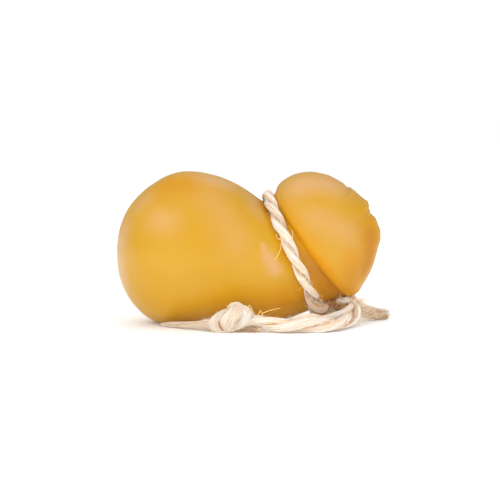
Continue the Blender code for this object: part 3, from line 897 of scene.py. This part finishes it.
def frames_along(points):
    """Tangent and two cross directions at each point, carried along without twist."""
    tangents = unit(np.gradient(points, axis=0))
    side = np.cross(tangents[0], [0.0, 0.0, 1.0])
    if np.linalg.norm(side) < 0.1:
        side = np.cross(tangents[0], [0.0, 1.0, 0.0])
    sides = []
    for tangent in tangents:
        side = side - tangent * np.dot(side, tangent)
        side = side / np.linalg.norm(side)
        sides.append(side)
    sides = np.array(sides)
    return tangents, sides, np.cross(tangents, sides)


def around(side, up, turn):
    """The direction at a given turn round a line, at each of its points."""
    return side * np.cos(turn)[..., None] + up * np.sin(turn)[..., None]


class Bundle:
    """Many thin tubes gathered into one mesh, each with its own tint."""

    def __init__(self, seed):
        self.rng = np.random.default_rng(seed)
        self.points, self.faces, self.tints = [], [], []
        self.count = 0

    def tube(self, line, radii, tint, sides=4):
        """Adds a tube along a line, closed at both ends. Its radii are one value, or one for each point."""
        line = np.asarray(line, float)
        _, side, up = frames_along(line)
        self.loft(line, side, up, np.broadcast_to(radii, (len(line),)), tint, sides)

    def loft(self, line, side, up, radii, tint, sides, rises=None):
        """Adds a closed tube whose rings lie along the side and up directions, with a radius for each."""
        turn = np.linspace(0, math.tau, sides, endpoint=False)
        rise = radii if rises is None else rises
        ring = (
            line[:, None]
            + side[:, None] * (np.cos(turn) * radii[:, None])[:, :, None]
            + up[:, None] * (np.sin(turn) * rise[:, None])[:, :, None]
        )
        start = self.count
        for i in range(len(line) - 1):
            a, b = start + i * sides, start + (i + 1) * sides
            for j in range(sides):
                k = (j + 1) % sides
                self.faces.append((a + j, a + k, b + k, b + j))
        end = start + (len(line) - 1) * sides
        self.faces.append(tuple(start + j for j in reversed(range(sides))))
        self.faces.append(tuple(end + j for j in range(sides)))
        self.points.append(ring.reshape(-1, 3))
        self.tints.append(np.repeat(np.broadcast_to(tint, (len(line),)), sides))
        self.count += len(line) * sides

    def wander(self, count, size, stretch):
        """A smooth random walk of a given size, one value per point."""
        knots = max(4, int(count / stretch) + 3)
        values = self.rng.normal(0, size, knots)
        return np.interp(np.linspace(0, knots - 1, count), np.arange(knots), values)

    def piece(self, name, material):
        points = np.concatenate(self.points)
        points[:, 2] = np.maximum(points[:, 2], LOWEST)
        made = mesh_piece(name, points, self.faces, material, {"tint": np.concatenate(self.tints)})
        return made


def spread(values, count):
    """Values spread evenly over a line's points."""
    values = np.atleast_1d(np.asarray(values, float))
    return np.interp(np.linspace(0, 1, count), np.linspace(0, 1, len(values)), values)


def fibre_tint(rng):
    """A fibre's own tint: most are near cream, and a few are browner."""
    return rng.beta(1.0, 5.5) + BROWN_FIBRE * (rng.uniform() < BROWN_SHARE)


def lay_twine(bundle, route, diameters, pitch, phase, opening=0.0, shade=0.0):
    """Two plies twisted together along a route, each a core with fibres laid over it."""
    rng = bundle.rng
    line = resampled(route, FIBRE_STEP)
    count = len(line)
    along = distances_along(line)
    _, side, up = frames_along(line)
    diameter, shade = spread(diameters, count), spread(shade, count)
    apart = diameter * (PLY_APART + opening * np.exp(-along / OPENING_RUN))
    for ply in range(2):
        turn = phase + math.pi * ply - math.tau * along / pitch + bundle.wander(count, *PLY_TURN)
        outward, across = around(side, up, turn), around(side, up, turn + math.pi / 2)
        centre = line + outward * apart[:, None]
        swell = diameter * (1 + bundle.wander(count, *PLY_SWELL))
        thick, wide = swell * PLY_HALF_THICK, swell * PLY_HALF_WIDE
        bundle.loft(centre, across, outward, wide * CORE, CORE_TINT + shade, 16, thick * CORE)
        for _ in range(FIBRES_PER_PLY):
            angle = rng.uniform(0, math.tau) - math.tau * along / (pitch * FIBRE_PITCH)
            angle = angle + bundle.wander(count, *FIBRE_TURN)
            reach = rng.uniform(*FIBRE_REACH) + bundle.wander(count, *FIBRE_RISE)
            place = centre + across * (wide * reach * np.cos(angle))[:, None]
            place = place + outward * (thick * reach * np.sin(angle))[:, None]
            # Fibres down between the plies are darkened, in dots, with painted shade.
            sunk = (GROOVE_REACH - np.linalg.norm(place - line, axis=1) / diameter) / GROOVE_RUN
            tint = fibre_tint(rng) + shade
            groove_dots = np.clip(0.6 + bundle.wander(count, *GROOVE_DOTS), 0, 1.4)
            tint = tint + GROOVE_SHADE * np.clip(sunk, 0, 1) * groove_dots
            tint = tint + bundle.wander(count, *SPECKLE)
            bundle.tube(place, rng.uniform(*FIBRE_RADII), np.clip(tint, 0, 2), sides=4)


def lay_band(bundle, route, middle, fibres, pitch=BAND_PITCH):
    """A flattened strand along a route of x, y, z, width, thickness and shade.

    Its flat side faces away from the middle.
    """
    rng = bundle.rng
    rows = smooth_route(route, FIBRE_STEP)
    line, widths, depths, shade = rows[:, :3], rows[:, 3] / 2, rows[:, 4] / 2, rows[:, 5]
    count = len(line)
    along = distances_along(line)
    tangents = unit(np.gradient(line, axis=0))
    out = line - np.array(middle)
    out = unit(out - tangents * np.sum(out * tangents, axis=1)[:, None])
    side = np.cross(out, tangents)
    wide, thick = BAND_CORE
    bundle.loft(line, side, out, widths * wide, CORE_TINT + shade, 14, depths * thick)
    for _ in range(fibres):
        angle = rng.uniform(0, math.tau) - math.tau * along / pitch + bundle.wander(count, *BAND_TURN)
        reach = rng.uniform(*BAND_REACH) + bundle.wander(count, *BAND_RISE)
        tint = fibre_tint(rng) + shade + bundle.wander(count, *SPECKLE)
        place = line + side * (widths * reach * np.cos(angle))[:, None]
        place = place + out * (depths * reach * np.sin(angle))[:, None]
        bundle.tube(place, rng.uniform(*BAND_RADII), np.clip(tint, 0, 2), sides=4)


def hair(bundle, start, direction, length, bend, radius, tint):
    """One stray fibre: a curve that leaves along a direction and bends as it goes."""
    count = max(3, math.ceil(length / HAIR_STEP) + 1)
    t = np.linspace(0, 1, count)[:, None]
    line = start + unit(direction) * length * t + bend * length * t**2
    radii = np.linspace(radius, radius * HAIR_TIP, count)
    bundle.tube(line, radii, tint * bundle.rng.uniform(0.4, 1.6), sides=3)


def stray_hairs(bundle, line, radius, count, lengths, stand, tint, thick):
    """Fibre ends that stick out of a stretch of twine."""
    rng = bundle.rng
    tangents, side, up = frames_along(line)
    for _ in range(count):
        i = rng.integers(0, len(line))
        outward = around(side[i], up[i], np.array(rng.uniform(0, math.tau)))
        direction = tangents[i] * rng.choice([-1, 1]) + outward * stand * rng.uniform(0.3, 1.2)
        bend = rng.normal(0, 0.35, 3) + outward * 0.1
        start = line[i] + outward * radius * HAIR_ROOT
        hair(bundle, start, direction, rng.uniform(*lengths), bend, thick, tint)


def tuft(bundle, foot, lean, count, lengths):
    """Fibre ends that stand out from one place, and droop."""
    rng = bundle.rng
    for _ in range(count):
        start = np.array(foot) + rng.normal(0, 0.9, 3)
        direction = np.array(lean) + rng.normal(0, 0.35, 3)
        bend = np.array([0.1, 0, -0.35]) + rng.normal(0, 0.15, 3)
        hair(bundle, start, direction, rng.uniform(*lengths), bend, 0.09, rng.choice([-0.6, 0.2]))


# ---- the pieces of twine


def add_tail(material):
    bundle = Bundle(11)
    line = smooth_route(TAIL_ROUTE, FIBRE_STEP)
    diameters = np.array(TAIL_WIDTHS) * TAIL_DIAMETER
    lay_twine(bundle, line, diameters, TAIL_PITCH, TAIL_PHASE, opening=TAIL_OPENING)
    piece = bundle.piece("tail_strands", material)
    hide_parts("tail_twine")
    return piece, line


def add_end_knot(material):
    bundle = Bundle(21)
    lay_band(bundle, END_KNOT_ROUTE, END_KNOT_MIDDLE, END_KNOT_FIBRES)
    line = smooth_route(END_KNOT_ROUTE, FUZZ_STEP)[:, :3]
    for fuzz in END_KNOT_FUZZ:
        stray_hairs(bundle, line, *fuzz)
    bundle.tube(smooth_route(KNOT_CLEFT, KNOT_STEP), *KNOT_CLEFT_LOOK, sides=6)
    stray_hairs(bundle, smooth_route(KNOT_SHADOW_FIBRES, KNOT_STEP), *KNOT_SHADOW_FUZZ)
    stray_hairs(bundle, smooth_route(KNOT_FLUFF, KNOT_STEP), *KNOT_FLUFF_FUZZ)
    piece = bundle.piece("end_knot_strands", material)
    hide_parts("end_knot")
    return piece


def add_neck_knot(material):
    """The knot under the head, with two tufts of fibres that stand out beside the short end."""
    bundle = Bundle(5)
    lay_band(bundle, NECK_KNOT_ROUTE, NECK_KNOT_MIDDLE, NECK_KNOT_FIBRES)
    line = smooth_route(NECK_KNOT_ROUTE, FUZZ_STEP)[:, :3]
    for fuzz in NECK_KNOT_FUZZ:
        stray_hairs(bundle, line, *fuzz)
    for row in TUFTS:
        tuft(bundle, *row)
    piece = bundle.piece("neck_knot_strands", material)
    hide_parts("neck_knot")
    return piece


def add_neck_twine(material):
    bundle = Bundle(7)
    route = resampled(neck_route(), FIBRE_STEP)
    along = distances_along(route)
    from_end = np.minimum(along, along[-1] - along)
    diameters = np.interp(from_end, *np.array(NECK_DIAMETERS).T)
    shade = np.interp(from_end, *np.array(NECK_SHADES).T)
    lay_twine(bundle, route, diameters, NECK_PITCH, NECK_PHASE, shade=shade)
    line = resampled(route, FUZZ_STEP)
    for end in (line[:NECK_END_STEPS], line[-NECK_END_STEPS:]):
        stray_hairs(bundle, end, *NECK_END_FUZZ)
    for fuzz in NECK_TWINE_FUZZ:
        stray_hairs(bundle, line, *fuzz)
    piece = bundle.piece("neck_twine_strands", material)
    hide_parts("neck_twine")


def add_short_end(material):
    """The cut end: a strand that opens a little and stops in a blunt brush of fibre tips."""
    bundle = Bundle(9)
    rows = [(*p, d, d, SHORT_END_SHADE) for p, d in zip(SHORT_END_ROUTE, SHORT_END_DIAMETERS)]
    middle = np.mean(SHORT_END_ROUTE, axis=0) - np.array([0, 0, 8.0])
    lay_band(bundle, rows, middle, SHORT_END_FIBRES, SHORT_END_PITCH)
    line = smooth_route(SHORT_END_ROUTE, FUZZ_STEP)
    ahead = unit(line[-1] - line[-4])
    rng = bundle.rng
    for _ in range(SHORT_END_TIPS):
        start = line[-3] + rng.normal(0, 0.7, 3)
        direction = ahead + rng.normal(0, 0.18, 3)
        hair(bundle, start, direction, rng.uniform(1.2, 2.6), rng.normal(0, 0.1, 3), 0.13, 0.9)
    for fuzz in SHORT_END_FUZZ:
        stray_hairs(bundle, line, *fuzz)
    piece = bundle.piece("short_end_strands", material)
    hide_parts("short_end")
    return piece


def add_frayed_end(material):
    """Loose fibres that leave the end knot side by side, taper together and lie on the ground."""
    bundle = Bundle(13)
    rng = bundle.rng
    line = smooth_route(FRAYED_ROUTE, FIBRE_STEP)
    count = len(line)
    _, side, up = frames_along(line)
    half = spread(FRAYED_DIAMETERS, count) * FRAYED_SPREAD
    for _ in range(FRAYED_FIBRES):
        turn = np.array(rng.uniform(0, math.tau))
        reach = math.sqrt(rng.uniform(0, 1))
        stop = max(int(count * rng.uniform(0.5, 1.0)), 5)
        place = line + around(side, up, np.full(count, turn)) * (reach * half)[:, None]
        place = place + side * bundle.wander(count, *FRAY)[:, None]
        bundle.tube(place[:stop], rng.uniform(*FRAYED_RADII), 0.3 + rng.beta(1.4, 2.2), sides=3)
    piece = bundle.piece("frayed_fibres", material)
    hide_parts("frayed_end")
    return piece


def add_loose_fibres(material):
    bundle = Bundle(17)
    for route in LOOSE_FIBRES:
        line = smooth_route(route, KNOT_STEP)
        bundle.tube(line, np.linspace(*LOOSE_FIBRE_RADII, len(line)), LOOSE_FIBRE_TINT, sides=5)
    stray_hairs(bundle, smooth_route(TAIL_ROUTE, FUZZ_STEP), *TAIL_FUZZ)
    lay_band(bundle, LOOSE_STRAND, LOOSE_STRAND_MIDDLE, LOOSE_STRAND_FIBRES)
    bundle.piece("loose_fibres", material)


# ---- camera, floor and light


def add_camera():
    data = bpy.data.cameras.new("camera")
    data.sensor_width = SENSOR_WIDTH
    data.lens = SENSOR_WIDTH * PIXELS_PER_METRE * CAMERA_DISTANCE / IMAGE_SIZE
    data.clip_start = 0.05
    camera = bpy.data.objects.new("camera", data)
    link(camera)
    forward = Vector((0, math.cos(CAMERA_RISE), -math.sin(CAMERA_RISE)))
    upward = Vector((0, math.sin(CAMERA_RISE), math.cos(CAMERA_RISE)))
    middle = Vector((VIEW_CENTRE[0], 0, 0)) + upward * VIEW_CENTRE[1]
    camera.location = middle - forward * CAMERA_DISTANCE
    camera.rotation_euler = (math.pi / 2 - CAMERA_RISE, 0, 0)
    bpy.context.scene.camera = camera


def add_floor():
    n = Nodes(bpy.data.materials.new("pale_floor"))
    material = n.finish("Principled BSDF", {
        "Base Color": n.mix(n.noise(9.0, 2.0), *FLOOR_COLOURS),
        "Emission Color": (1, 1, 1, 1),
        "Emission Strength": FLOOR_GLOW,
        "Roughness": 0.7,
        "Specular IOR Level": 0.2,
    })
    bpy.ops.mesh.primitive_plane_add(size=FLOOR_SIZE)
    floor = bpy.context.object
    floor.name = "floor"
    floor.data.materials.append(material)


def add_lamp(name, place, target, size, power, mirrored):
    data = bpy.data.lights.new(name, "AREA")
    data.shape = "RECTANGLE"
    data.size, data.size_y = size
    data.energy = power
    light = bpy.data.objects.new(name, data)
    light.location = place
    light.rotation_euler = (Vector(target) - Vector(place)).to_track_quat("-Z", "Y").to_euler()
    light.visible_glossy = mirrored
    link(light)


def add_world():
    """A white room. What the rind mirrors of it is brightest behind and above, as a paper backdrop is."""
    n = Nodes(bpy.data.worlds.new("world"))
    ahead = n.add("TexCoord").outputs["Generated"]
    side = Vector(BACKDROP_SIDE).normalized()
    facing = n.add("VectorMath", {0: ahead, 1: side}, operation="DOT_PRODUCT").outputs["Value"]
    inputs = {"Value": facing, "From Min": 0.0, "From Max": BACKDROP_EDGE}
    inputs |= {"To Min": ROOM_DIM, "To Max": ROOM_BRIGHT}
    mirrored = n.add("MapRange", inputs, interpolation_type="SMOOTHSTEP").outputs["Result"]
    in_gloss = n.add("LightPath").outputs["Is Glossy Ray"]
    strength = n.add("Mix", {"Factor": in_gloss, "A": ROOM_LIGHT, "B": mirrored}).outputs["Result"]
    bpy.context.scene.world = n.finish("Background", {"Color": (1, 1, 1, 1), "Strength": strength})


def add_light():
    for lamp in LAMPS:
        add_lamp(*lamp)
    view = bpy.context.scene.view_settings
    view.view_transform = "Standard"
    view.look = "None"


# ---- the whole scene


def main():
    add_camera()
    sisal = sisal_material()
    tail, tail_line = add_tail(sisal)
    with_pieces = [add(sisal) for add in (add_end_knot, add_frayed_end, add_neck_knot, add_short_end)]
    float(distances_along(tail_line)[-1]) * MM
    add_neck_twine(sisal)
    add_loose_fibres(sisal)
    add_cheese(rind_material())
    add_floor()
    add_world()
    add_light()


main()
